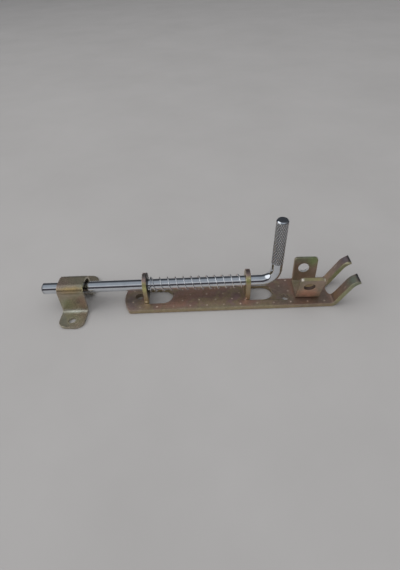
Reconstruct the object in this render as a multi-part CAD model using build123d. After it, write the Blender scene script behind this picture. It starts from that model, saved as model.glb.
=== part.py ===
from build123d import *
import os
from math import cos, radians, sin

# Spring bolt for a gate: a bent, knurled bolt rod that slides in two ears of a back plate, a coil
# spring that throws it to the left, a padlock bracket, a forked finger hold and a loose keeper.
# Millimetres and degrees. X runs along the bolt, Y across the plate, Z away from the gate. The
# origin is on the back of the plate, under the bolt and between the ears.

# Bolt rod: the overhang is its free end's reach past the front ear's middle, and the handle
# stands its offset past the rear ear's middle
rod_diameter = 10.0
rod_height = 18.7
rod_overhang = 91.95
rod_chamfer = 1.2
elbow_radius = 13.0
handle_offset = 24.5
handle_top = 81.4
grip_bottom = 38.8
grip_diameter = 10.6
grip_chamfer = 0.8

# Back plate, with its ears at their distances from the origin: they rise past the bolt's middle,
# and stretch as they are folded out of their windows
plate_width = 35.0
plate_thickness = 4.0
plate_overhang = 20.55
plate_end_radius = 31.0
plate_corner_radius = 2.0
plate_edge_round = 0.5
front_ear_reach = 46.25
rear_ear_reach = 44.5
ear_width = 18.4
ear_rise = 11.2
ear_stretch = 0.7
ear_bend_radius = 1.5
ear_edge_round = 0.4
lance_gap = 0.3

# Fork at the plate's right end: its fold's offset past the rear ear, and its rise and tip, are
# measured along its underside, and its slot starts at an offset of its own
fork_offset = 76.6
fork_rise = 26.6
fork_rise_angle = 61.5
fork_bend_radius = 3.0
fork_tip = 5.5
fork_tip_angle = 29.0
fork_tip_radius = 10.0
slot_width = 16.4
slot_offset = 72.2
slot_side = 0.5

# Screw holes in the plate: one before the front ear, one past the rear ear and to one side
screw_hole = 7.0
front_screw_offset = 7.35
rear_screw_offset = 33.8
rear_screw_side = 7.6

# Padlock bracket: its middle's offset past the rear ear and to one side, its turn as it was
# welded on, its lugs' lengths and leans, and its eyes' shift off the lugs' middle
bracket_thickness = 3.0
bracket_width = 21.0
bracket_gap = 17.5
bracket_offset = 53.3
bracket_side = 1.0
bracket_turn = 2.0
bracket_bend_radius = 1.0
bracket_edge_round = 0.4
front_lug_length = 27.2
back_lug_length = 25.0
lug_corner_radius = 3.0
front_lug_lean = 15.8
back_lug_lean = 5.5
shackle_hole = 9.5
shackle_setback = 10.3
shackle_side = 1.6

# Keeper: its feet's middle before the front ear and to one side, its strap's turn from its folds,
# and the inside of its hat, measured from the bolt's middle and from the gate
keeper_thickness = 2.5
keeper_width = 22.4
keeper_offset = 63.05
keeper_side = 0.8
keeper_turn = 3.4
keeper_front = 10.75
keeper_back = 5.9
keeper_headroom = 26.9
keeper_front_radius = 3.5
keeper_back_radius = 6.0
keeper_foot_radius = 3.0
keeper_span = 67.0
keeper_corner_radius = 7.5
keeper_edge_round = 0.4
keeper_hole = 6.5
keeper_hole_setback = 8.0

# Spring, and the stop pin and washer that it pushes on
wire_diameter = 0.9
coil_diameter = 12.7
coil_turns = 11.83
coil_start_angle = -28.0
pin_diameter = 2.0
pin_length = 13.0
pin_chamfer = 0.3
washer_diameter = 14.0
washer_thickness = 0.8

# Clearances
rod_clearance = 0.3
pin_fit = 0.02
pin_gap = 0.3
washer_gap = 0.2
coil_gap = 0.1

# The angle between two faces above which the edge between them is a sharp one
sharp_angle = 30.0

# Places worked out from the sizes above
front_ear = -front_ear_reach
rear_ear = rear_ear_reach
ear_top = rod_height + ear_rise
rod_end = front_ear - rod_overhang
handle_x = rear_ear + handle_offset
plate_end = front_ear - plate_overhang
pin_x = front_ear + plate_thickness / 2 + pin_gap + pin_diameter / 2
washer_x = pin_x + pin_diameter / 2 + washer_gap
coil_start = washer_x + washer_thickness + coil_gap + wire_diameter / 2
coil_end = rear_ear - plate_thickness / 2 - coil_gap - wire_diameter / 2
bracket_x = rear_ear + bracket_offset
keeper_x = front_ear - keeper_offset
web_top = plate_thickness + bracket_thickness
keeper_height = keeper_headroom + keeper_thickness


def heading(angle, length):
    """Step of a length at an angle to the first axis of a drawing."""
    return Vector(length * cos(radians(angle)), length * sin(radians(angle)))


def cross_section(x):
    """Drawing plane across the bolt: its first axis is Y, its second is Z."""
    return Plane((x, 0, 0), x_dir=(0, 1, 0), z_dir=(1, 0, 0))


def folded_sheet(corners, radii, thickness, plane, width):
    """Strip folded at the corners of one face's line, with its thickness to the left of that line."""
    face_line = FilletPolyline(*corners, radius=radii)
    outline = Wire(face_line.edges()).offset_2d(thickness, side=Side.LEFT)
    return extrude(plane * make_face(outline.edges()), amount=width / 2, both=True)


def sharp_edges(solid):
    """Edges where two faces meet at a clear angle, and not the seams of a smooth fold."""

    def is_sharp(edge):
        beside = [face for face in solid.faces() if any(edge.is_same(other) for other in face.edges())]
        normals = [face.normal_at(edge @ 0.5) for face in beside]
        return normals[0].get_angle(normals[-1]) > sharp_angle

    return solid.edges().filter_by(is_sharp)


def plate_blank():
    """Strip with a rounded left end, folded up at the right end and eased again at its tip."""
    fold = Vector(rear_ear + fork_offset, 0)
    brow = fold + heading(fork_rise_angle, fork_rise)
    tip = brow + heading(fork_tip_angle, fork_tip)
    corners = [(plate_end, 0), fold, brow, tip]
    radii = [fork_bend_radius + plate_thickness, fork_tip_radius]
    strip = folded_sheet(corners, radii, plate_thickness, Plane.XZ, plate_width)
    half = plate_width / 2
    shoulder = plate_end + plate_end_radius - (plate_end_radius**2 - half**2) ** 0.5
    reach = tip.X + plate_thickness
    end_arc = ThreePointArc((shoulder, half), (plate_end, 0), (shoulder, -half))
    sides = Polyline((shoulder, -half), (reach, -half), (reach, half), (shoulder, half))
    plan = make_face(end_arc.edges() + sides.edges())
    plan = fillet(plan.vertices().group_by(Axis.X)[0], plate_corner_radius)
    return strip & extrude(plan, amount=tip.Y + plate_thickness)


def fork_slot():
    """Cutter for the slot between the prongs: its half-round root is shorter in plan for the fold."""
    fold_radius = fork_bend_radius + plate_thickness / 2
    past_fold = slot_width / 2 - fold_radius * radians(fork_rise_angle)
    depth = fold_radius * sin(radians(fork_rise_angle)) + past_fold * cos(radians(fork_rise_angle))
    root = rear_ear + slot_offset + depth
    length = fork_rise + fork_tip
    plan = Pos(root, slot_side) * Ellipse(depth, slot_width / 2)
    plan += Pos(root + length / 2, slot_side) * Rectangle(length, slot_width)
    return extrude(plan, amount=length + plate_thickness)


def ear_window(x):
    """Cutter for the window that an ear leaves: nearly as long as the ear stands above the plate."""
    inner_face = x - plate_thickness / 2
    half = ear_width / 2 + lance_gap
    left = inner_face - ear_bend_radius
    centre = inner_face + ear_top - plate_thickness - ear_stretch + lance_gap - half
    plan = Pos(centre, 0) * Circle(half)
    plan += Pos((left + centre) / 2, 0) * Rectangle(centre - left, 2 * half)
    return extrude(plan, amount=plate_thickness)


def lanced_ear(x):
    """Tongue folded up on its left, with a round top and a hole for the rod."""
    inner_face = x - plate_thickness / 2
    root = inner_face - ear_bend_radius - lance_gap
    corners = [(inner_face, ear_top), (inner_face, plate_thickness), (root, plate_thickness)]
    tongue = folded_sheet(corners, ear_bend_radius, plate_thickness, Plane.XZ, ear_width)
    shoulder = ear_top - ear_width / 2
    outline = Pos(0, shoulder) * Circle(ear_width / 2)
    outline += Pos(0, shoulder / 2) * Rectangle(ear_width, shoulder)
    ear = tongue & extrude(cross_section(x) * outline, amount=tongue.bounding_box().size.X, both=True)
    rim = sharp_edges(ear).filter_by(lambda edge: edge.center().Z > plate_thickness + ear_bend_radius)
    ear = fillet(rim, ear_edge_round)
    hole = cross_section(x) * Pos(0, rod_height) * Circle(rod_diameter / 2 + rod_clearance)
    return ear - extrude(hole, amount=plate_thickness, both=True)


def make_back_plate():
    """One stamping: fork, windows, ears and screw holes."""
    plate = plate_blank() - fork_slot()
    plate = fillet(sharp_edges(plate), plate_edge_round)
    for x in (front_ear, rear_ear):
        plate -= ear_window(x)
        plate += lanced_ear(x)
    hole = Cylinder(screw_hole / 2, 2 * plate_thickness)
    plate -= Pos(front_ear - front_screw_offset, 0) * hole
    plate -= Pos(rear_ear + rear_screw_offset, -rear_screw_side) * hole
    return plate


def lug_face(side, lean):
    """Drawing plane on a lug's inner face, from the web's corner upwards."""
    up = Vector(0, side * sin(radians(lean)), cos(radians(lean)))
    along = Vector(1, 0, 0)
    return Plane((0, side * bracket_gap / 2, web_top), x_dir=along, z_dir=along.cross(up))


def make_padlock_bracket():
    """U of sheet that straddles the handle's path, with an eye in each lug for the shackle."""
    front_corner = Vector(-bracket_gap / 2, web_top)
    back_corner = Vector(bracket_gap / 2, web_top)
    front_top = front_corner + heading(90 + front_lug_lean, front_lug_length)
    back_top = back_corner + heading(90 - back_lug_lean, back_lug_length)
    corners = [back_top, back_corner, front_corner, front_top]
    section = cross_section(0)
    bracket = folded_sheet(corners, bracket_bend_radius, bracket_thickness, section, bracket_width)
    front_face = lug_face(-1, front_lug_lean)
    back_face = lug_face(1, back_lug_lean)
    for lug in (front_face, back_face):
        top_corners = bracket.edges().filter_by(Axis(lug.origin, lug.z_dir))
        bracket = fillet(top_corners, lug_corner_radius)
    bracket = fillet(sharp_edges(bracket), bracket_edge_round)
    for lug, length in ((front_face, front_lug_length), (back_face, back_lug_length)):
        eye = Pos(-shackle_side, length - shackle_setback) * Circle(shackle_hole / 2)
        bracket -= extrude(lug * eye, amount=2 * bracket_thickness, both=True)
    return Pos(bracket_x, bracket_side) * Rot(0, 0, -bracket_turn) * bracket


def make_keeper():
    """Hat of strap, folded a little askew, with a rounded foot and a screw hole on each side."""
    reach = keeper_span / 2 + keeper_thickness
    front_wall = [(-keeper_front, 0), (-keeper_front, keeper_headroom)]
    back_wall = [(keeper_back, keeper_headroom), (keeper_back, 0)]
    corners = [(keeper_side - reach, 0), *front_wall, *back_wall, (keeper_side + reach, 0)]
    foot_radius = keeper_foot_radius + keeper_thickness
    radii = [foot_radius, keeper_front_radius, keeper_back_radius, foot_radius]
    blank_width = keeper_width + keeper_span * sin(radians(keeper_turn))
    strap = folded_sheet(corners, radii, keeper_thickness, cross_section(0), blank_width)
    askew = Pos(0, keeper_side) * Rot(0, 0, -keeper_turn)
    plan = askew * RectangleRounded(keeper_width, keeper_span, keeper_corner_radius)
    strap &= extrude(plan, amount=keeper_height)
    strap = fillet(sharp_edges(strap), keeper_edge_round)
    hole = Cylinder(keeper_hole / 2, 2 * keeper_thickness)
    for side in (-1, 1):
        strap -= askew * Pos(0, side * (keeper_span / 2 - keeper_hole_setback)) * hole
    return Pos(keeper_x, 0) * strap


def make_bolt_rod():
    """Round bar bent up into a handle, with a raised grip and a cross hole for the stop pin."""
    nose = Vector(rod_end, 0, rod_height)
    corner = Vector(handle_x, 0, rod_height)
    inside_grip = Vector(handle_x, 0, (grip_bottom + handle_top) / 2)
    section = Plane(nose, z_dir=(1, 0, 0)) * Circle(rod_diameter / 2)
    rod = sweep(section, path=FilletPolyline(nose, corner, inside_grip, radius=elbow_radius))
    rod = chamfer(rod.edges().group_by(Axis.X)[0], rod_chamfer)
    grip_length = handle_top - grip_bottom
    grip = Cylinder(grip_diameter / 2, grip_length, align=(Align.CENTER, Align.CENTER, Align.MIN))
    grip = chamfer(grip.edges().group_by(Axis.Z)[-1], grip_chamfer)
    rod += Pos(handle_x, 0, grip_bottom) * grip
    hole = Cylinder(pin_diameter / 2 + pin_fit, pin_length, rotation=(90, 0, 0))
    return rod - Pos(pin_x, 0, rod_height) * hole


def make_stop_pin():
    """Pin across the rod that stops it at the front ear and takes the spring's push."""
    pin = Cylinder(pin_diameter / 2, pin_length, rotation=(90, 0, 0))
    pin = chamfer(pin.edges().filter_by(GeomType.CIRCLE), pin_chamfer)
    return Pos(pin_x, 0, rod_height) * pin


def make_spring_washer():
    """Flat washer between the stop pin and the spring."""
    ring = Circle(washer_diameter / 2) - Circle(rod_diameter / 2 + rod_clearance)
    return extrude(cross_section(washer_x) * Pos(0, rod_height) * ring, amount=washer_thickness)


def make_spring():
    """Right-handed open coil from the washer to the rear ear."""
    length = coil_end - coil_start
    helix = Helix(length / coil_turns, length, coil_diameter / 2)
    wire = Plane(helix @ 0, z_dir=helix % 0) * Circle(wire_diameter / 2)
    coil = sweep(wire, path=helix, is_frenet=True)
    turn = radians(coil_start_angle)
    start = Plane((coil_start, 0, rod_height), x_dir=(0, -sin(turn), cos(turn)), z_dir=(1, 0, 0))
    return start * coil


pieces = {
    "back_plate": make_back_plate,
    "padlock_bracket": make_padlock_bracket,
    "keeper": make_keeper,
    "bolt_rod": make_bolt_rod,
    "stop_pin": make_stop_pin,
    "spring_washer": make_spring_washer,
    "spring": make_spring,
}

os.makedirs("parts", exist_ok=True)
for name, make in pieces.items():
    export_step(make(), f"parts/{name}.step")
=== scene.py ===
"""Looks of a gate spring bolt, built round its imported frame.

The bracket, keeper, pin and washer keep their own solids and get finishes. The plate is a copy of its
solid with small dents sunk in its top. The bolt rod, with its knurled grip, and the coil spring are
modelled here and stand for theirs.
"""

import logging
import math
from dataclasses import dataclass
from enum import Enum, IntEnum
from typing import Any, Iterable

import bmesh
import bpy
from mathutils import Matrix, Vector


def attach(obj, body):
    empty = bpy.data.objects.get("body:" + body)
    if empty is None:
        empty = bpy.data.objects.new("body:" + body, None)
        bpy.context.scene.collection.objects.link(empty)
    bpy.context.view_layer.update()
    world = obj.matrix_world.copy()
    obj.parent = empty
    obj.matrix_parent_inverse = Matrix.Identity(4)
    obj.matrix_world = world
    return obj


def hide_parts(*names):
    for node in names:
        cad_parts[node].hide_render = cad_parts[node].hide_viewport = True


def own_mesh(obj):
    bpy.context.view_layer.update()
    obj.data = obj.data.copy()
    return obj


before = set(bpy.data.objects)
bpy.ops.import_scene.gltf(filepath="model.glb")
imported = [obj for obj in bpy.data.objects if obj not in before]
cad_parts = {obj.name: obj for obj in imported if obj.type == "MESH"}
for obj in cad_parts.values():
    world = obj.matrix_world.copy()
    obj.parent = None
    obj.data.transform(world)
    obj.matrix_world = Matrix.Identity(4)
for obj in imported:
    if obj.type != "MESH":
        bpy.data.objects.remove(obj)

log = logging.getLogger("spring_bolt")

MM = 0.001
FULL_TURN = 2 * math.pi
QUARTER_TURN = math.pi / 2
SHARP_ANGLE = 35.0
MERGE_DISTANCE = 0.001 * MM
NOISE_MIDDLE = 0.5

Colour = tuple[float, float, float]
Point = tuple[float, float, float]
Span = tuple[float, float]
Stops = tuple[tuple[float, Colour], ...]
Socket = bpy.types.NodeSocket
Ring = list[bmesh.types.BMEdge]


class Body(Enum):
    """Bodies of the frame that pieces ride on."""

    FRAME = "frame"
    BOLT = "bolt"


class Slot(Enum):
    """Names of material slots; the pieces modelled here are not given them."""

    PLATE = "yellow_zinc"
    ROD = "bright_zinc"
    SPRING = "spring_steel"


class Joint(Enum):
    """Joint of the bolt's slide, by name; no piece here follows it."""

    SLIDE = "bolt_slide"


class MixSocket(IntEnum):
    """Places of the colour sockets on a Mix node."""

    FACTOR = 0
    FIRST = 6
    SECOND = 7
    RESULT = 2


@dataclass(frozen=True)
class Grain:
    """Noise in a finish: its lumps per metre, its octaves and the weight of the finer ones."""

    scale: float
    detail: float
    roughness: float


class ShaderGraph:
    """Node tree of one material or world, with short calls that add and join its nodes."""

    def __init__(self, tree: bpy.types.NodeTree) -> None:
        """Takes over a node tree and empties it.

        Args:
            tree: Node tree of a material or world.
        """
        self.tree = tree
        self.tree.nodes.clear()

    def add(
        self, kind: str, inputs: dict[str | int, Any] | None = None, **settings: Any
    ) -> bpy.types.Node:
        """Adds a node.

        Args:
            kind: Node type, without its ShaderNode prefix.
            inputs: Value or source socket for each input, by name or number.
            **settings: Node properties.

        Returns:
            The new node.
        """
        node = self.tree.nodes.new("ShaderNode" + kind)
        for key, value in settings.items():
            setattr(node, key, value)
        for key, value in (inputs or {}).items():
            self.feed(node.inputs[key], value)
        return node

    def feed(self, socket: Socket, value: Any) -> None:
        """Joins a source socket to an input, or sets the input's own value.

        Args:
            socket: Input socket.
            value: Output socket, number, colour or vector.
        """
        if isinstance(value, Socket):
            self.tree.links.new(value, socket)
        elif socket.type == "RGBA":
            socket.default_value = (*value, 1.0)
        else:
            socket.default_value = value

    def math(self, operation: str, *values: Any) -> Socket:
        """Adds a Math node and returns its result."""
        return self.add("Math", dict(enumerate(values)), operation=operation).outputs[0]

    def vector(self, operation: str, *values: Any) -> Socket:
        """Adds a Vector Math node and returns its result, a number for lengths and dot products."""
        node = self.add("VectorMath", dict(enumerate(values)), operation=operation)
        return node.outputs["Value" if operation in ("LENGTH", "DOT_PRODUCT") else "Vector"]

    def radius(self, first: Socket, second: Socket) -> Socket:
        """Works out how far a place is from an axis.

        Args:
            first: Distance from it one way.
            second: Distance from it at right angles to that.

        Returns:
            Socket of the distance.
        """
        squares = (self.math("MULTIPLY", part, part) for part in (first, second))
        return self.math("SQRT", self.math("ADD", *squares))

    def mix(self, factor: Any, first: Any, second: Any, blend: str = "MIX") -> Socket:
        """Mixes two colours.

        Args:
            factor: Share of the second colour.
            first: First colour or socket.
            second: Second colour or socket.
            blend: How they mix.

        Returns:
            Socket of the mixed colour.
        """
        inputs = {MixSocket.FACTOR: factor, MixSocket.FIRST: first, MixSocket.SECOND: second}
        return self.add("Mix", inputs, data_type="RGBA", blend_type=blend).outputs[MixSocket.RESULT]

    def ramp(self, factor: Socket, stops: Stops) -> Socket:
        """Colour ramp.

        Args:
            factor: Socket that the ramp reads.
            stops: Places and colours, in order.

        Returns:
            Socket of the colour.
        """
        node = self.add("ValToRGB", {0: factor})
        elements = node.color_ramp.elements
        while len(elements) < len(stops):
            elements.new(1.0)
        for element, (place, colour) in zip(elements, stops):
            element.position = place
            element.color = (*colour, 1.0)
        return node.outputs[0]

    def spread(self, factor: Socket, source: Span, result: Span = (0.0, 1.0)) -> Socket:
        """Maps a value's range onto another and keeps it inside.

        Args:
            factor: Socket of the value.
            source: Values that give the first and the last result.
            result: First and last result.

        Returns:
            Socket of the mapped value.
        """
        inputs = dict(enumerate((factor, *source, *result)))
        return self.add("MapRange", inputs, clamp=True).outputs[0]

    def noise(self, place: Socket, grain: Grain, coloured: bool = False) -> Socket:
        """Noise at a place.

        Args:
            place: Socket of the coordinates, in metres.
            grain: Kind of noise.
            coloured: Whether three noises are asked for, as a colour.

        Returns:
            Socket of a value, or a colour, from about 0.2 to 0.8.
        """
        inputs = {
            "Vector": place, "Scale": grain.scale, "Detail": grain.detail, "Roughness": grain.roughness
        }
        return self.add("TexNoise", inputs).outputs["Color" if coloured else 0]

    def place(self, offset: Point = (0.0, 0.0, 0.0), stretch: Point = (1.0, 1.0, 1.0)) -> Socket:
        """Object coordinates, moved and stretched.

        Args:
            offset: Shift, in metres.
            stretch: Factor along each axis.

        Returns:
            Socket of the coordinates.
        """
        source = self.add("TexCoord").outputs["Object"]
        return self.add("Mapping", {"Vector": source, "Location": offset, "Scale": stretch}).outputs[0]

    def surface(self, inputs: dict[str, Any]) -> None:
        """Adds the shader of a surface and joins it to the output.

        Args:
            inputs: Value or source socket for each of the shader's inputs.
        """
        shader = self.add("BsdfPrincipled", inputs)
        self.add("OutputMaterial", {0: shader.outputs[0]})


def new_material(name: str) -> tuple[bpy.types.Material, ShaderGraph]:
    """Makes an empty material.

    Args:
        name: Name of the material.

    Returns:
        The material and its graph.
    """
    material = bpy.data.materials.new(name)
    material.use_nodes = True
    return material, ShaderGraph(material.node_tree)


@dataclass(frozen=True)
class DentGrid:
    """Staggered rows of small dents in the plate's top."""

    starts: tuple[tuple[float, float], ...] = ((-51.95 * MM, 0.3 * MM), (-58.95 * MM, 7.1 * MM))
    pitch_x: float = 14.9 * MM
    pitch_y: float = 14.1 * MM
    radius: float = 0.8 * MM
    rim_radius: float = 1.0 * MM
    depth: float = 0.3 * MM

    def mask(self, graph: ShaderGraph) -> Socket:
        """Finds the dents, with a soft rim round each, where the pale film and painted highlight go, in a
        material.

        Args:
            graph: Graph of the material.

        Returns:
            Socket that is 1 in a dent and 0 off it.
        """
        x, y, _ = graph.add("SeparateXYZ", {0: graph.place()}).outputs
        half_x = self.pitch_x / 2
        half_y = self.pitch_y / 2
        near = []
        for start_x, start_y in self.starts:
            along = graph.math("WRAP", graph.math("SUBTRACT", x, start_x), half_x, -half_x)
            across = graph.math("WRAP", graph.math("SUBTRACT", y, start_y), half_y, -half_y)
            near.append(graph.radius(along, across))
        return graph.spread(graph.math("MINIMUM", *near), (self.radius, self.rim_radius), (1.0, 0.0))

    def places(self, left: float, right: float, half_width: float) -> list[tuple[float, float]]:
        """Lists the dents on a strip.

        Args:
            left: Where the strip starts.
            right: Where it ends.
            half_width: Half of its width.

        Returns:
            Middles of the dents.
        """
        found = []
        for start_x, start_y in self.starts:
            first = math.ceil((left - start_x) / self.pitch_x)
            last = math.floor((right - start_x) / self.pitch_x)
            low = math.ceil((-half_width - start_y) / self.pitch_y)
            high = math.floor((half_width - start_y) / self.pitch_y)
            for column in range(first, last + 1):
                for row in range(low, high + 1):
                    found.append((start_x + column * self.pitch_x, start_y + row * self.pitch_y))
        return found


@dataclass(frozen=True)
class TintAndLightSpot:
    """Soft spot painted in another tint: some are the film's own tints, others are painted highlights,
    painted glints and painted shade.

    Attributes:
        middle: Its middle, in millimetres.
        reach: How far it goes along each axis, in millimetres.
        tint: Its colour.
        strength: Share of the tint at its middle.
        sway: How far its border wanders, in millimetres.
        over_edge: Whether it also covers the worn edges.
        core: Share of its reach that has the full strength.
    """

    middle: Point
    reach: Point
    tint: Colour
    strength: float = 0.8
    sway: float = 7.0
    over_edge: bool = False
    core: float = 0.25


@dataclass(frozen=True)
class Bore:
    """Punched hole whose wall is painted a colour of its own, as painted light and painted shade inside the
    hole.

    Attributes:
        point: A point on its axis, in millimetres.
        axis: Its direction.
        radius: Its radius, in millimetres.
        tint: Colour of its wall.
    """

    point: Point
    axis: Point
    radius: float
    tint: Colour


@dataclass(frozen=True)
class YellowZinc:
    """Yellow chromated zinc: film colours in soft patches, a paler film along the edges and fine grain.

    A span holds the values between which an effect comes in, and a share says how strong it is.
    """

    name: str
    film: Stops
    edge: Colour
    wall: Colour
    wall_share: float
    # spots of film tint, painted highlight and painted shade
    tint_and_light_spots: tuple[TintAndLightSpot, ...]
    # painted light and painted shade on the walls of holes
    bores: tuple[Bore, ...] = ()
    bore_margin: float = 0.12 * MM
    bore_depth: float = 6.0 * MM
    dents: DentGrid | None = None
    # pale cream in the dents: a pale film and a painted highlight
    dent: Colour = (0.96, 0.80, 0.66)
    metal_share: float = 0.82
    smoothest: float = 0.20
    roughest: float = 0.30
    edge_roughness: float = 0.18
    edge_width: float = 0.9 * MM
    edge_samples: int = 6
    edge_share: float = 0.75
    edge_span: Span = (0.985, 0.86)
    wall_span: Span = (0.75, 0.25)
    patches: Grain = Grain(45.0, 3.0, 0.55)
    blotches: Grain = Grain(270.0, 4.0, 0.6)
    borders: Grain = Grain(170.0, 3.0, 0.5)
    grain: Grain = Grain(1400.0, 3.0, 0.65)
    blotch_share: float = 0.22
    mottle_span: Span = (0.7, 1.3)
    mottle_shade: Span = (0.80, 1.16)
    sheen_span: Span = (0.6, 1.4)
    dent_film_and_sheen_span: Span = (0.40, 0.62)
    dent_film_and_sheen_share: Span = (0.35, 1.0)
    grain_height: float = 0.35
    bump_strength: float = 0.5
    bump_depth: float = 0.05 * MM

    def with_tint_and_light_spots(self, graph: ShaderGraph, colour: Socket, over_edge: bool) -> Socket:
        """Lays the spots of film tint, painted highlight and painted shade over the film, with ragged
        borders.

        Args:
            graph: Graph of the material.
            colour: Socket of the film's colour.
            over_edge: Whether the spots that also cover the worn edges are laid, or the others.

        Returns:
            Socket of the colour with its spots of film tint, painted highlight and painted shade.
        """
        source = graph.place()
        ragged = graph.noise(source, self.borders, coloured=True)
        for tint_and_light_spot in self.tint_and_light_spots:
            if tint_and_light_spot.over_edge != over_edge:
                continue
            sway = tint_and_light_spot.sway * MM
            swayed = graph.vector("MULTIPLY_ADD", ragged, (sway, sway, sway), source)
            middle = tuple(part * MM + sway / 2 for part in tint_and_light_spot.middle)
            reach = tuple(part * MM for part in tint_and_light_spot.reach)
            away = graph.vector("DIVIDE", graph.vector("SUBTRACT", swayed, middle), reach)
            far = graph.vector("LENGTH", away)
            share = graph.spread(far, (1.0, tint_and_light_spot.core), (0.0, tint_and_light_spot.strength))
            colour = graph.mix(share, colour, tint_and_light_spot.tint)
        return colour

    def bored(self, graph: ShaderGraph, colour: Socket) -> Socket:
        """Paints the walls of the holes in their own colours, as painted light and painted shade inside the
        holes.

        Args:
            graph: Graph of the material.
            colour: Socket of the film's colour.

        Returns:
            Socket of the colour with the holes' walls.
        """
        source = graph.place()
        for bore in self.bores:
            point = tuple(part * MM for part in bore.point)
            axis = tuple(Vector(bore.axis).normalized())
            away = graph.vector("SUBTRACT", source, point)
            off_axis = graph.vector("LENGTH", graph.vector("CROSS_PRODUCT", away, axis))
            along = graph.math("ABSOLUTE", graph.vector("DOT_PRODUCT", away, axis))
            on_wall = graph.math("LESS_THAN", off_axis, bore.radius * MM + self.bore_margin)
            near = graph.math("LESS_THAN", along, self.bore_depth)
            colour = graph.mix(graph.math("MULTIPLY", on_wall, near), colour, bore.tint)
        return colour

    def material(self) -> bpy.types.Material:
        """Makes the finish.

        Returns:
            The material.
        """
        material, graph = new_material(self.name)
        source = graph.place()
        patches = graph.noise(source, self.patches)
        blotch = graph.noise(source, self.blotches)
        grain = graph.noise(source, self.grain)
        lean = graph.math("MULTIPLY", graph.math("SUBTRACT", blotch, NOISE_MIDDLE), self.blotch_share)
        film = graph.ramp(graph.math("ADD", patches, lean), self.film)
        normal = graph.add("NewGeometry").outputs["Normal"]
        _, _, upward = graph.add("SeparateXYZ", {0: normal}).outputs
        wall = graph.spread(graph.math("ABSOLUTE", upward), self.wall_span)
        colour = graph.mix(graph.math("MULTIPLY", wall, self.wall_share), film, self.wall)
        # spots of film tint, painted highlight and painted shade, laid under the worn edges
        colour = self.with_tint_and_light_spots(graph, colour, over_edge=False)
        soft = graph.add("Bevel", {"Radius": self.edge_width}, samples=self.edge_samples).outputs[0]
        edge = graph.spread(graph.vector("DOT_PRODUCT", soft, normal), self.edge_span)
        colour = graph.mix(graph.math("MULTIPLY", edge, self.edge_share), colour, self.edge)
        # spots of film tint, painted highlight and painted shade, laid over the worn edges
        colour = self.with_tint_and_light_spots(graph, colour, over_edge=True)
        mottle = graph.spread(graph.math("ADD", grain, blotch), self.mottle_span, self.mottle_shade)
        shade = graph.add("CombineXYZ", dict.fromkeys("XYZ", mottle)).outputs[0]
        colour = graph.mix(1.0, colour, shade, "MULTIPLY")
        # painted light and painted shade on the walls of the holes
        colour = self.bored(graph, colour)
        # pale cream in the dents, patchy and on upward faces only: a pale film and a painted highlight
        if self.dents:
            dent_film_and_sheen = graph.math("MULTIPLY", upward, graph.spread(blotch, self.dent_film_and_sheen_span, self.dent_film_and_sheen_share))
            colour = graph.mix(graph.math("MULTIPLY", self.dents.mask(graph), dent_film_and_sheen), colour, self.dent)
        sheen = graph.math("ADD", grain, patches)
        roughness = graph.spread(sheen, self.sheen_span, (self.smoothest, self.roughest))
        polish = graph.math("MULTIPLY", edge, graph.math("SUBTRACT", roughness, self.edge_roughness))
        roughness = graph.math("SUBTRACT", roughness, polish)
        height = graph.math("MULTIPLY", grain, self.grain_height)
        relief = {"Strength": self.bump_strength, "Distance": self.bump_depth, "Height": height}
        bump = graph.add("Bump", relief).outputs[0]
        graph.surface(
            {"Base Color": colour, "Metallic": self.metal_share, "Roughness": roughness, "Normal": bump}
        )
        return material


@dataclass(frozen=True)
class Knurling:
    """Where the grip is, and the grey laid in its grooves, paling to the crest colour at the crests."""

    axis_x: float = 69.0 * MM
    bottom: float = 38.8 * MM
    top: float = 80.6 * MM
    groove_radius: float = 4.86 * MM
    crest_radius: float = 5.14 * MM
    groove: Colour = (0.19, 0.194, 0.205)
    crest: Colour = (1.0, 1.0, 1.0)


@dataclass(frozen=True)
class Scuff:
    """Dull, mottled end of the bar, where it strikes the keeper: from clean bar to the very end."""

    clean: float = -135.6 * MM
    struck: float = -137.3 * MM
    tint: Colour = (0.20, 0.205, 0.22)
    mottle: Grain = Grain(700.0, 3.0, 0.6)
    spot_span: Span = (0.35, 0.6)
    spot_share: Span = (0.4, 1.0)


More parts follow.
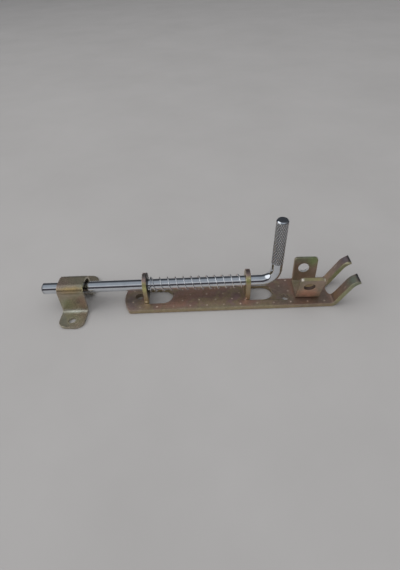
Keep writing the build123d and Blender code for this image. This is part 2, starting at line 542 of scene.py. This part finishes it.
@dataclass(frozen=True)
class BrightZinc:
    """Bright blue-white zinc: mirror-like, with faint clouds and drawn lines along the bar."""

    name: str
    clear: Colour
    dull: Colour
    knurling: Knurling | None = None
    scuff: Scuff | None = None
    smoothest: float = 0.05
    roughest: float = 0.12
    line_stretch: Point = (0.02, 1.0, 1.0)
    clouds: Grain = Grain(160.0, 4.0, 0.6)
    lines: Grain = Grain(2600.0, 2.0, 0.6)
    cloud_share: float = 0.7
    line_share: float = 0.3
    cloud_span: Span = (0.3, 0.7)
    bump_strength: float = 0.25
    bump_depth: float = 0.01 * MM

    def grooved(self, graph: ShaderGraph, colour: Socket, knurling: Knurling) -> Socket:
        """Darkens the grooves of the grip's knurl.

        Args:
            graph: Graph of the material.
            colour: Socket of the plain finish.
            knurling: Where the grip is.

        Returns:
            Socket of the colour, with grey grooves on the grip.
        """
        x, y, z = graph.add("SeparateXYZ", {0: graph.place((-knurling.axis_x, 0.0, 0.0))}).outputs
        height = graph.spread(graph.radius(x, y), (knurling.groove_radius, knurling.crest_radius))
        worn = graph.ramp(height, ((0.0, knurling.groove), (1.0, knurling.crest)))
        above = graph.math("GREATER_THAN", z, knurling.bottom)
        on_grip = graph.math("MULTIPLY", above, graph.math("LESS_THAN", z, knurling.top))
        return graph.mix(on_grip, colour, worn)

    def scuffed(self, graph: ShaderGraph, colour: Socket, scuff: Scuff) -> Socket:
        """Dulls the bar's end in spots.

        Args:
            graph: Graph of the material.
            colour: Socket of the finish so far.
            scuff: Where the end is.

        Returns:
            Socket of the colour, with the dull end.
        """
        x, _, _ = graph.add("SeparateXYZ", {0: graph.place()}).outputs
        spots = graph.spread(graph.noise(graph.place(), scuff.mottle), scuff.spot_span, scuff.spot_share)
        struck = graph.spread(x, (scuff.clean, scuff.struck))
        return graph.mix(graph.math("MULTIPLY", struck, spots), colour, scuff.tint)

    def material(self) -> bpy.types.Material:
        """Makes the finish.

        Returns:
            The material.
        """
        material, graph = new_material(self.name)
        clouds = graph.noise(graph.place(), self.clouds)
        lines = graph.noise(graph.place(stretch=self.line_stretch), self.lines)
        cloudy = graph.math("MULTIPLY", clouds, self.cloud_share)
        both = graph.math("ADD", cloudy, graph.math("MULTIPLY", lines, self.line_share))
        colour = graph.ramp(graph.spread(both, self.cloud_span), ((0.0, self.dull), (1.0, self.clear)))
        if self.knurling:
            colour = self.grooved(graph, colour, self.knurling)
        if self.scuff:
            colour = self.scuffed(graph, colour, self.scuff)
        roughness = graph.spread(both, self.cloud_span, (self.roughest, self.smoothest))
        relief = {"Strength": self.bump_strength, "Distance": self.bump_depth, "Height": lines}
        bump = graph.add("Bump", relief).outputs[0]
        graph.surface({"Base Color": colour, "Metallic": 1.0, "Roughness": roughness, "Normal": bump})
        return material


@dataclass(frozen=True)
class PaleTable:
    """Plain pale floor with hardly any grain."""

    name: str = "pale_table"
    pale: Colour = (0.40, 0.387, 0.378)
    dim: Colour = (0.37, 0.357, 0.348)
    clouds: Grain = Grain(6.0, 4.0, 0.6)
    cloud_span: Span = (0.3, 0.7)
    roughness: float = 0.7
    gloss: float = 0.2

    def material(self) -> bpy.types.Material:
        """Makes the finish.

        Returns:
            The material.
        """
        material, graph = new_material(self.name)
        cloud = graph.noise(graph.place(), self.clouds)
        colour = graph.ramp(graph.spread(cloud, self.cloud_span), ((0.0, self.dim), (1.0, self.pale)))
        graph.surface(
            {"Base Color": colour, "Roughness": self.roughness, "Specular IOR Level": self.gloss}
        )
        return material


def edges_of(items: Iterable[Any]) -> Ring:
    """Picks the edges out of an operator's result."""
    return [item for item in items if isinstance(item, bmesh.types.BMEdge)]


def edges_at(verts: Iterable[bmesh.types.BMVert]) -> Ring:
    """Lists the edges that meet at some vertices."""
    return list({edge for vert in verts for edge in vert.link_edges})


def verts_of(ring: Ring) -> list[bmesh.types.BMVert]:
    """Lists the vertices of a ring of edges."""
    return list({vert for edge in ring for vert in edge.verts})


def linked(mesh: bmesh.types.BMesh, name: str) -> bpy.types.Object:
    """Turns a bmesh into an object at the origin.

    Args:
        mesh: Mesh with its place in it. It is freed.
        name: Name of the object.

    Returns:
        The object.
    """
    data = bpy.data.meshes.new(name)
    mesh.to_mesh(data)
    mesh.free()
    piece = bpy.data.objects.new(name, data)
    bpy.context.scene.collection.objects.link(piece)
    return piece


def smoothed(piece: bpy.types.Object, sharp: float) -> None:
    """Shades a piece smooth, and keeps each edge above an angle, in degrees, sharp."""
    piece.data.polygons.foreach_set("use_smooth", [True] * len(piece.data.polygons))
    piece.data.set_sharp_from_angle(angle=math.radians(sharp))


def shaped(
    mesh: bmesh.types.BMesh, name: str, material: bpy.types.Material, sharp: float = SHARP_ANGLE
) -> bpy.types.Object:
    """Turns a finished bmesh into a smooth-shaded object at the origin.

    Args:
        mesh: Mesh with its place in it. It is freed.
        name: Name of the piece.
        material: Finish of the piece.
        sharp: Angle, in degrees, above which an edge stays sharp.

    Returns:
        The object.
    """
    bmesh.ops.recalc_face_normals(mesh, faces=mesh.faces[:])
    piece = linked(mesh, name)
    smoothed(piece, sharp)
    piece.data.materials.append(material)
    return piece


@dataclass(frozen=True)
class DressedPart:
    """Piece that keeps its own solid and gets a finish."""

    node: str
    finish: YellowZinc | BrightZinc

    def dress(self) -> None:
        """Gives the solid its finish and reports it."""
        material = self.finish.material()
        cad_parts[self.node].material_slots[0].material = material
        log.info("dressed %s in %s", self.node, material.name)


@dataclass
class DentedPlate:
    """Back plate, taken from its solid, with the small dents sunk in its top.

    Each bare place, where no dent is sunk, is given by its left, near, right and far limits.
    """

    grid: DentGrid
    top: float = 4.0 * MM
    left: float = -62.0 * MM
    right: float = 112.0 * MM
    half_width: float = 15.5 * MM
    bare: tuple[tuple[float, float, float, float], ...] = (
        (-59.0 * MM, -5.0 * MM, -48.0 * MM, 5.0 * MM),
        (-52.0 * MM, -11.0 * MM, -21.5 * MM, 11.0 * MM),
        (39.5 * MM, -11.0 * MM, 69.5 * MM, 11.0 * MM),
        (73.0 * MM, -13.0 * MM, 83.5 * MM, -2.5 * MM),
        (86.0 * MM, -12.5 * MM, 110.0 * MM, 14.5 * MM),
    )
    crease: float = 32.0
    ball_sides: int = 24
    ball_rings: int = 24

    def cutter(self) -> bpy.types.Object:
        """Makes the balls that sink the dents, off the windows, the holes and the bracket's foot.

        Returns:
            The balls, as one object.
        """
        ball = (self.grid.radius**2 + self.grid.depth**2) / (2 * self.grid.depth)
        mesh = bmesh.new()
        for x, y in self.grid.places(self.left, self.right, self.half_width):
            if any(x0 < x < x1 and y0 < y < y1 for x0, y0, x1, y1 in self.bare):
                continue
            middle = Matrix.Translation((x, y, self.top + ball - self.grid.depth))
            bmesh.ops.create_uvsphere(
                mesh, u_segments=self.ball_sides, v_segments=self.ball_rings, radius=ball, matrix=middle
            )
        return linked(mesh, "dent_balls")

    def settled(self, piece: bpy.types.Object) -> None:
        """Bakes a piece's modifiers into its mesh.

        Args:
            piece: The piece.
        """
        graph = bpy.context.evaluated_depsgraph_get()
        data = bpy.data.meshes.new_from_object(piece.evaluated_get(graph))
        piece.modifiers.clear()
        piece.data = data

    def build(self, material: bpy.types.Material) -> bpy.types.Object:
        """Copies the plate's solid and sinks the dents.

        Args:
            material: Its finish.

        Returns:
            The piece, riding on the frame.
        """
        mesh = bmesh.new()
        mesh.from_mesh(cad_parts["back_plate"].data)
        bmesh.ops.remove_doubles(mesh, verts=mesh.verts[:], dist=MERGE_DISTANCE)
        piece = shaped(mesh, "back_plate_dented", material, self.crease)
        balls = self.cutter()
        sink = piece.modifiers.new("sink", "BOOLEAN")
        sink.operation = "DIFFERENCE"
        sink.solver = "EXACT"
        sink.object = balls
        self.settled(piece)
        bpy.data.objects.remove(balls)
        smoothed(piece, self.crease)
        piece.modifiers.new("even_shading", "WEIGHTED_NORMAL").keep_sharp = True
        self.settled(piece)
        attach(piece, Body.FRAME.value)
        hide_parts("back_plate")
        log.info("built %s with %d faces", piece.name, len(piece.data.polygons))
        return piece


@dataclass
class BoltRod:
    """Bent round bar with a chamfered nose and a diamond-knurled grip."""

    axis_height: float = 18.7 * MM
    nose_x: float = -138.2 * MM
    handle_x: float = 69.0 * MM
    radius: float = 5.0 * MM
    nose_chamfer: float = 1.2 * MM
    elbow_radius: float = 13.0 * MM
    grip_bottom: float = 38.8 * MM
    grip_top: float = 81.4 * MM
    grip_chamfer: float = 0.8 * MM
    knurl_root: float = 4.85 * MM
    knurl_depth: float = 0.4 * MM
    knurl_pitch: float = 3.6 * MM
    collar: float = 0.2 * MM
    rim_reach: float = 1.0 * MM
    knurl_columns: int = 16
    facet_angle: float = 15.0
    sides: int = 60
    elbow_steps: int = 30

    def extend(self, mesh: bmesh.types.BMesh, ring: Ring, move: Vector) -> Ring:
        """Extrudes a ring of edges and moves the new ring.

        Args:
            mesh: Mesh of the rod.
            ring: Edges at the tube's open end.
            move: How far the new ring goes.

        Returns:
            Edges of the new open end.
        """
        grown = bmesh.ops.extrude_edge_only(mesh, edges=ring)["geom"]
        verts = [item for item in grown if isinstance(item, bmesh.types.BMVert)]
        bmesh.ops.translate(mesh, verts=verts, vec=move)
        return [edge for edge in edges_of(grown) if all(vert in verts for vert in edge.verts)]

    def bar(self, mesh: bmesh.types.BMesh) -> Ring:
        """Builds the bar from its nose, round the elbow, up to the grip.

        Args:
            mesh: Mesh of the rod.

        Returns:
            Edges of its open end, at the bottom of the grip.
        """
        at_nose = Matrix.Translation((self.nose_x, 0, self.axis_height))
        tip = bmesh.ops.create_circle(
            mesh, cap_ends=True, segments=self.sides, radius=self.radius - self.nose_chamfer,
            matrix=at_nose @ Matrix.Rotation(QUARTER_TURN, 4, "Y"),
        )
        ring = self.extend(mesh, edges_at(tip["verts"]), Vector((self.nose_chamfer, 0, 0)))
        to_axis = Matrix.Translation((0, 0, -self.axis_height))
        widen = self.radius / (self.radius - self.nose_chamfer)
        bmesh.ops.scale(mesh, vec=(1, widen, widen), space=to_axis, verts=verts_of(ring))
        bend_x = self.handle_x - self.elbow_radius
        ring = self.extend(mesh, ring, Vector((bend_x - self.nose_x - self.nose_chamfer, 0, 0)))
        centre = (bend_x, 0, self.axis_height + self.elbow_radius)
        bend = bmesh.ops.spin(
            mesh, geom=ring, cent=centre, axis=(0, -1, 0), angle=QUARTER_TURN, steps=self.elbow_steps
        )
        rise = self.grip_bottom - self.axis_height - self.elbow_radius
        return self.extend(mesh, edges_of(bend["geom_last"]), Vector((0, 0, rise)))

    def knurl(self, mesh: bmesh.types.BMesh) -> tuple[Ring, Ring]:
        """Builds the grip's wall: a turned grid, redrawn as diamonds, each raised to a point.

        Args:
            mesh: Mesh of the rod.

        Returns:
            Edges of the wall's bottom ring and of its top ring.
        """
        bottom = self.grip_bottom + self.collar
        top = self.grip_top - self.grip_chamfer - self.collar
        rows = round((top - bottom) / self.knurl_pitch)
        old_faces = set(mesh.faces)
        foot = mesh.verts.new((self.handle_x + self.knurl_root, 0, bottom))
        head = mesh.verts.new((self.handle_x + self.knurl_root, 0, top))
        line = mesh.edges.new((foot, head))
        bmesh.ops.subdivide_edges(mesh, edges=[line], cuts=rows - 1)
        column = [edge for edge in mesh.edges if edge.is_wire]
        bmesh.ops.spin(
            mesh, geom=column + verts_of(column), cent=(self.handle_x, 0, 0), axis=(0, 0, 1),
            angle=FULL_TURN, steps=self.knurl_columns, use_merge=True,
        )
        wall = [face for face in mesh.faces if face not in old_faces]
        grid = list({edge for face in wall for edge in face.edges})
        bmesh.ops.poke(mesh, faces=wall)
        bmesh.ops.dissolve_edges(mesh, edges=[edge for edge in grid if len(edge.link_faces) == 2])
        diamonds = [face for face in mesh.faces if face not in old_faces]
        bmesh.ops.recalc_face_normals(mesh, faces=diamonds)
        bmesh.ops.poke(mesh, faces=diamonds, offset=self.knurl_depth)
        bar_end = bottom - self.collar / 2
        rims = [edge for edge in mesh.edges if edge.is_boundary and edge.verts[0].co.z > bar_end]
        low = [edge for edge in rims if edge.verts[0].co.z < bottom + self.rim_reach]
        high = [edge for edge in rims if edge.verts[0].co.z > top - self.rim_reach]
        return low, high

    def build(self, material: bpy.types.Material) -> bpy.types.Object:
        """Builds the whole rod.

        Args:
            material: Its finish.

        Returns:
            The piece, riding on the bolt.
        """
        mesh = bmesh.new()
        bar_end = self.bar(mesh)
        low, high = self.knurl(mesh)
        bmesh.ops.bridge_loops(mesh, edges=bar_end + low)
        at_shoulder = Matrix.Translation((self.handle_x, 0, self.grip_top - self.grip_chamfer))
        shoulder = bmesh.ops.create_circle(
            mesh, segments=self.sides, radius=self.radius, matrix=at_shoulder
        )
        ring = edges_at(shoulder["verts"])
        bmesh.ops.bridge_loops(mesh, edges=high + ring)
        rim = self.extend(mesh, ring, Vector((0, 0, self.grip_chamfer)))
        narrow = (self.radius - self.grip_chamfer) / self.radius
        to_handle = Matrix.Translation((-self.handle_x, 0, 0))
        bmesh.ops.scale(mesh, vec=(narrow, narrow, 1), space=to_handle, verts=verts_of(rim))
        bmesh.ops.holes_fill(mesh, edges=rim, sides=0)
        bmesh.ops.remove_doubles(mesh, verts=mesh.verts[:], dist=MERGE_DISTANCE)
        piece = shaped(mesh, "bolt_rod_knurled", material, self.facet_angle)
        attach(piece, Body.BOLT.value)
        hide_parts("bolt_rod")
        log.info("built %s with %d faces", piece.name, len(piece.data.polygons))
        return piece


@dataclass
class CoilSpring:
    """Right-handed open coil of round wire, from the washer to the rear ear."""

    axis_height: float = 18.7 * MM
    start_x: float = -40.4 * MM
    end_x: float = 41.95 * MM
    coil_radius: float = 6.35 * MM
    wire_radius: float = 0.45 * MM
    turns: float = 11.83
    start_angle: float = -28.0
    wire_sides: int = 12
    steps_per_turn: int = 40
    crease: float = 60.0
    solid_share: float = 0.1652

    def build(self, material: bpy.types.Material) -> bpy.types.Object:
        """Sweeps the wire's section round the bolt.

        Args:
            material: Its finish.

        Returns:
            The piece, which closes up against the rear ear as the bolt is drawn.
        """
        mesh = bmesh.new()
        on_axis = Matrix.Translation((self.start_x, 0, self.axis_height))
        turn = Matrix.Rotation(math.radians(self.start_angle), 4, "X")
        on_coil = on_axis @ turn @ Matrix.Translation((0, 0, self.coil_radius))
        section = bmesh.ops.create_circle(
            mesh, cap_ends=True, segments=self.wire_sides, radius=self.wire_radius,
            matrix=on_coil @ Matrix.Rotation(QUARTER_TURN, 4, "X"),
        )
        steps = round(self.turns * self.steps_per_turn)
        advance = (self.end_x - self.start_x) / steps
        swept = bmesh.ops.spin(
            mesh, geom=edges_at(section["verts"]), cent=on_axis.translation, axis=(1, 0, 0),
            dvec=(advance, 0, 0), angle=self.turns * FULL_TURN, steps=steps,
        )
        bmesh.ops.holes_fill(mesh, edges=edges_of(swept["geom_last"]), sides=0)
        piece = shaped(mesh, "spring_coil", material, self.crease)
        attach(piece, Body.FRAME.value)
        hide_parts("spring")
        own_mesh(piece)
        log.info("built %s with %d faces", piece.name, len(piece.data.polygons))
        return piece


@dataclass
class Studio:
    """Pale floor, soft light and the camera.

    The room's light is given by its angle round the bolt: from straight down, at 0, up behind it, over the
    top at a half, and down in front of it to 1.
    """

    camera_place: Point = (4.6 * MM, -250.4 * MM, 246.8 * MM)
    camera_yaw: float = -0.57
    camera_pitch: float = 42.70
    camera_roll: float = -2.61
    focal_pixels: float = 379.9
    frame_height: float = 570.0
    sensor: float = 36.0
    nearest: float = 10.0 * MM
    floor_reach: float = 8.0
    floor_drop: float = 0.05 * MM
    lamp_place: Point = (-1.0, -0.2, 1.2)
    lamp_size: float = 1.2
    lamp_power: float = 4.0
    ceiling_place: Point = (0.0, -0.2, 1.6)
    ceiling_size: float = 6.0
    ceiling_power: float = 65.0
    room: Stops = (
        (0.0, (0.06, 0.06, 0.06)),
        (0.375, (0.05, 0.053, 0.06)),
        (0.40, (0.09, 0.095, 0.105)),
        (0.425, (0.19, 0.20, 0.22)),
        (0.46, (0.31, 0.335, 0.37)),
        (0.59, (0.34, 0.365, 0.40)),
        (0.605, (0.52, 0.53, 0.55)),
        (0.64, (0.52, 0.53, 0.55)),
        (0.655, (0.06, 0.053, 0.06)),
        (0.80, (0.06, 0.055, 0.06)),
    )
    right_wall: Colour = (0.06, 0.058, 0.06)
    right_wall_span: Span = (0.25, 0.8)
    right_wall_share: Span = (0.0, 0.85)
    window: Colour = (1.15, 1.17, 1.20)
    window_side: Span = (-0.45, -0.60)
    window_back: Span = (0.37, 0.42)
    window_front: Span = (0.72, 0.69)

    def camera(self) -> None:
        """Sets the camera, in front of the bolt and above it."""
        angles = (self.camera_yaw, self.camera_pitch, self.camera_roll)
        yaw, pitch, roll = (math.radians(angle) for angle in angles)
        level = Vector((math.cos(yaw), -math.sin(yaw), 0))
        forward = Vector((math.sin(yaw), math.cos(yaw), 0))
        ahead = math.cos(pitch) * forward - math.sin(pitch) * Vector((0, 0, 1))
        upright = level.cross(ahead)
        right = math.cos(roll) * level + math.sin(roll) * upright
        up = -math.sin(roll) * level + math.cos(roll) * upright
        turn = Matrix((right, up, -ahead)).transposed().to_4x4()
        data = bpy.data.cameras.new("camera")
        data.sensor_width = self.sensor
        data.lens = self.focal_pixels * self.sensor / self.frame_height
        data.clip_start = self.nearest
        camera = bpy.data.objects.new("camera", data)
        camera.matrix_world = Matrix.Translation(self.camera_place) @ turn
        bpy.context.scene.collection.objects.link(camera)
        bpy.context.scene.camera = camera

    def floor(self, finish: PaleTable) -> None:
        """Lays the floor.

        Args:
            finish: Its finish.
        """
        mesh = bmesh.new()
        bmesh.ops.create_grid(mesh, x_segments=1, y_segments=1, size=self.floor_reach)
        bmesh.ops.translate(mesh, verts=mesh.verts[:], vec=(0, 0, -self.floor_drop))
        shaped(mesh, "floor", finish.material())

    def softbox(self, name: str, place: Point, size: float, power: float) -> None:
        """Hangs a round lamp that faces the bolt and leaves no glint of its own.

        Args:
            name: Name of the lamp.
            place: Where it hangs, in metres.
            size: Its diameter, in metres.
            power: Its power, in watts.
        """
        data = bpy.data.lights.new(name, "AREA")
        data.shape = "DISK"
        data.size = size
        data.energy = power
        lamp = bpy.data.objects.new(name, data)
        lamp.location = place
        lamp.rotation_euler = (-Vector(place)).to_track_quat("-Z", "Y").to_euler()
        lamp.visible_glossy = False
        bpy.context.scene.collection.objects.link(lamp)

    def light(self) -> None:
        """Sets soft lamps, in a room that is dark behind and on the right and has a window on the left."""
        self.softbox("side_softbox", self.lamp_place, self.lamp_size, self.lamp_power)
        self.softbox("ceiling_softbox", self.ceiling_place, self.ceiling_size, self.ceiling_power)
        world = bpy.data.worlds.new("studio")
        world.use_nodes = True
        graph = ShaderGraph(world.node_tree)
        ray = graph.add("TexCoord").outputs["Generated"]
        side, depth, rise = graph.add("SeparateXYZ", {0: ray}).outputs
        angle = graph.math("ARCTAN2", graph.math("MULTIPLY", depth, -1.0), rise)
        share = graph.spread(angle, (-math.pi, math.pi))
        colour = graph.ramp(share, self.room)
        dark = graph.spread(side, self.right_wall_span, self.right_wall_share)
        colour = graph.mix(dark, colour, self.right_wall)
        in_height = graph.math(
            "MULTIPLY", graph.spread(share, self.window_back), graph.spread(share, self.window_front)
        )
        in_window = graph.math("MULTIPLY", graph.spread(side, self.window_side), in_height)
        colour = graph.mix(in_window, colour, self.window)
        background = graph.add("Background", {0: colour, 1: 1.0})
        graph.add("OutputWorld", {0: background.outputs[0]})
        bpy.context.scene.world = world

    def build(self) -> None:
        """Sets up camera, floor and light."""
        self.camera()
        self.floor(PaleTable())
        self.light()
        bpy.context.scene.view_settings.view_transform = "Standard"
        log.info("studio is set")


DENTS = DentGrid()
PLATE_FINISH = YellowZinc(
    name="plate_yellow_zinc",
    film=(
        (0.30, (0.56, 0.38, 0.27)),
        (0.42, (0.62, 0.385, 0.295)),
        (0.52, (0.54, 0.36, 0.30)),
        (0.62, (0.57, 0.45, 0.29)),
        (0.72, (0.51, 0.35, 0.325)),
    ),
    edge=(0.52, 0.46, 0.28),
    wall=(0.44, 0.37, 0.22),
    wall_share=0.8,
    metal_share=0.88,
    tint_and_light_spots=(
        TintAndLightSpot((-60, -8, 4), (11, 16, 5), (0.38, 0.31, 0.29)),
        TintAndLightSpot((20, -17, 4), (100, 4, 3), (0.46, 0.41, 0.27), 0.6),
        TintAndLightSpot((72, 2, 4), (16, 10, 5), (0.46, 0.36, 0.29)),
        TintAndLightSpot((79, -10, 4), (14, 9, 5), (0.38, 0.32, 0.24), 0.75),
        TintAndLightSpot((98, -14, 4), (26, 7, 5), (0.37, 0.30, 0.25), 0.85, 5.0),
        TintAndLightSpot((113, -6, 4), (8, 14, 4), (0.38, 0.30, 0.25), 0.8, 4.0),
        TintAndLightSpot((132, 0, 18), (15, 60, 17), (0.36, 0.28, 0.26), 0.95),
        TintAndLightSpot((133.5, -13, 26), (9, 10, 8), (0.31, 0.37, 0.29), 0.9),
        TintAndLightSpot((121, -12, 4.8), (4, 12, 3), (0.34, 0.27, 0.24), 0.9, 2.0),
        TintAndLightSpot((134, 14, 27), (6, 9, 5), (0.36, 0.32, 0.36), 0.8),
        TintAndLightSpot((129, -18.5, 13), (17, 2.6, 22), (0.38, 0.43, 0.23), 0.9, 1.5),
        TintAndLightSpot((129, 7.8, 16), (16, 2.8, 22), (0.34, 0.38, 0.17), 0.9, 1.5),
        TintAndLightSpot((136, -18, 25), (6, 3, 6), (0.26, 0.29, 0.21), 0.8, 1.0, True),
        # painted light from here to the ears' feet: painted shade under the back prong's glint, a painted
        # glint on its slot side, painted shade on both prong ends, yellow-green painted highlights on the
        # ears' front edges, painted shade on the front ear's right face and painted glints at both ears'
        # feet
        TintAndLightSpot((132.5, 7.7, 24.5), (7, 1.6, 2.2), (0.20, 0.20, 0.09), 0.8, 0.6, True),
        TintAndLightSpot((134.2, 7.9, 27.2), (4.5, 1.8, 1.5), (1.0, 0.98, 0.60), 0.9, 0.6, True),
        TintAndLightSpot((136.5, 0, 29.4), (2.4, 90, 2.4), (0.09, 0.088, 0.09), 0.95, 0.8, True),
        TintAndLightSpot((44.5, -7.4, 26.4), (5, 4, 5), (0.66, 0.66, 0.26), 0.95, 2.0),
        TintAndLightSpot((-46, -8.6, 22.5), (5, 4, 8), (0.62, 0.60, 0.27), 0.9, 2.0),
        TintAndLightSpot((-43.7, 0, 22), (1.5, 16, 24), (0.04, 0.035, 0.03), 0.97, 0.3, True, 0.72),
        TintAndLightSpot((42.4, -9.4, 5.6), (1.6, 1.2, 1.8), (1.0, 0.82, 0.68), 0.95, 0.2, True, 0.6),
        TintAndLightSpot((-46.6, -9.4, 6.0), (1.6, 1.2, 1.6), (1.0, 0.94, 0.72), 0.95, 0.2, True, 0.6),
        TintAndLightSpot((-46, 0, 31), (6, 12, 6), (0.22, 0.20, 0.20), 0.9),
        TintAndLightSpot((44.5, 0, 31), (6, 12, 6), (0.22, 0.19, 0.19), 0.9),
    ),
    bores=(
        # painted shade on the walls of the two screw holes, darker than the film
        Bore((-53.6, 0, 0), (0, 0, 1), 3.5, (0.36, 0.29, 0.22)),
        Bore((78.3, -7.6, 0), (0, 0, 1), 3.5, (0.44, 0.36, 0.29)),
    ),
    smoothest=0.32,
    roughest=0.42,
    dents=DENTS,
)
BRACKET_FINISH = YellowZinc(
    name="bracket_yellow_zinc",
    film=(
        (0.30, (0.38, 0.37, 0.25)),
        (0.45, (0.43, 0.36, 0.27)),
        (0.55, (0.44, 0.33, 0.26)),
        (0.70, (0.42, 0.35, 0.28)),
    ),
    edge=(0.54, 0.50, 0.22),
    wall=(0.42, 0.33, 0.26),
    wall_share=0.2,
    tint_and_light_spots=(
        TintAndLightSpot((97, -15, 25), (16, 8, 9), (0.46, 0.34, 0.26), 0.9),
        TintAndLightSpot((96, -12, 13), (13, 6, 12), (0.86, 0.50, 0.36), 0.9),
        TintAndLightSpot((97.5, -17.5, 34.2), (15, 5, 3), (0.50, 0.45, 0.18), 0.95, 1.5),
        TintAndLightSpot((101, 2, 7), (9, 7, 3), (0.50, 0.38, 0.22), 0.9, 2.0),
        TintAndLightSpot((97, 13, 32), (15, 6, 9), (0.36, 0.40, 0.27), 0.85),
        TintAndLightSpot((104, 12, 29), (7, 5, 9), (0.34, 0.43, 0.20), 0.9),
        # painted glints on the front lug's two top corners
        TintAndLightSpot((87.9, -16.8, 32.4), (1.9, 2.2, 1.9), (1.0, 0.92, 0.82), 0.9, 0.3, True),
        TintAndLightSpot((106.9, -17.2, 32.4), (1.7, 3.0, 2.2), (1.0, 0.97, 0.78), 0.95, 0.3, True),
        TintAndLightSpot((98, 11, 12), (13, 5, 8), (0.46, 0.34, 0.28)),
    ),
    bores=(
        # painted shade on the front eye's wall and painted light on the back eye's wall
        Bore((95.685, -13.73, 22.853), (-0.033581, -0.961632, -0.27228), 4.75, (0.16, 0.11, 0.09)),
        Bore((96.608, 12.701, 21.489), (0.034739, 0.99479, -0.095846), 4.75, (0.95, 0.94, 0.92)),
    ),
    smoothest=0.36,
    roughest=0.46,
)
KEEPER_FINISH = YellowZinc(
    name="keeper_yellow_zinc",
    film=(
        (0.30, (0.37, 0.37, 0.26)),
        (0.45, (0.42, 0.38, 0.28)),
        (0.58, (0.43, 0.36, 0.27)),
        (0.70, (0.43, 0.33, 0.27)),
    ),
    edge=(0.46, 0.42, 0.30),
    wall=(0.40, 0.36, 0.27),
    wall_share=0.2,
    tint_and_light_spots=(
        TintAndLightSpot((-116, -13, 12), (8, 6, 9), (0.36, 0.37, 0.24), 0.9),
        TintAndLightSpot((-101, -13, 14), (6, 6, 10), (0.47, 0.33, 0.27)),
        TintAndLightSpot((-109, -25, 2.5), (15, 11, 4), (0.48, 0.46, 0.34)),
        # painted highlight along the front foot's bend
        TintAndLightSpot((-109, -14.5, 3), (16, 4, 3), (0.84, 0.84, 0.70), 0.9),
        TintAndLightSpot((-109, -12, 27.4), (16, 3, 4.4), (0.52, 0.38, 0.18), 0.95, 3.0),
        # painted light from here on: painted shade below the front bend, a painted highlight along the
        # strap's right border, painted shade along the top's back edge, painted light inside the roof at
        # the right mouth and painted light on the far foot
        TintAndLightSpot((-109, -13.3, 23.6), (15, 2, 1.3), (0.20, 0.15, 0.08), 0.7, 1.0),
        TintAndLightSpot((-98.2, -11.5, 27), (1.7, 5, 4), (0.86, 0.74, 0.36), 0.85, 0.5, True),
        TintAndLightSpot((-109, 4.3, 28.2), (18, 2.5, 2.6), (0.07, 0.065, 0.05), 0.9, 0.6, True, 0.6),
        TintAndLightSpot((-98, -3, 26.3), (5, 8, 1.3), (0.95, 0.92, 0.84), 0.95, 0.3, True, 0.6),
        TintAndLightSpot((-101, 10, 3), (10, 7, 7), (0.70, 0.70, 0.66), 0.9, 4.0, True),
    ),
)
ROD_FINISH = BrightZinc(
    "rod_bright_zinc", clear=(0.78, 0.81, 0.85), dull=(0.66, 0.69, 0.73), knurling=Knurling(), scuff=Scuff()
)
PIN_FINISH = BrightZinc(
    "pin_bright_zinc", clear=(0.70, 0.72, 0.75), dull=(0.58, 0.60, 0.63), line_stretch=(1.0, 0.02, 1.0)
)
WASHER_FINISH = BrightZinc(
    "washer_bright_zinc", clear=(0.70, 0.72, 0.75), dull=(0.58, 0.60, 0.63), smoothest=0.2, roughest=0.35
)
SPRING_FINISH = BrightZinc(
    "spring_bright_zinc", clear=(0.92, 0.93, 0.95), dull=(0.78, 0.80, 0.83), smoothest=0.07, roughest=0.14
)
DRESSED_PARTS = (
    DressedPart("padlock_bracket", BRACKET_FINISH),
    DressedPart("keeper", KEEPER_FINISH),
    DressedPart("stop_pin", PIN_FINISH),
    DressedPart("spring_washer", WASHER_FINISH),
)


def main() -> None:
    """Builds the modelled pieces, dresses the others and sets up the studio."""
    logging.basicConfig(level=logging.INFO, format="%(name)s: %(message)s")
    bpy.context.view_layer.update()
    DentedPlate(DENTS).build(PLATE_FINISH.material())
    for part in DRESSED_PARTS:
        part.dress()
    BoltRod().build(ROD_FINISH.material())
    CoilSpring().build(SPRING_FINISH.material())
    Studio().build()


if __name__ == "__main__":
    main()
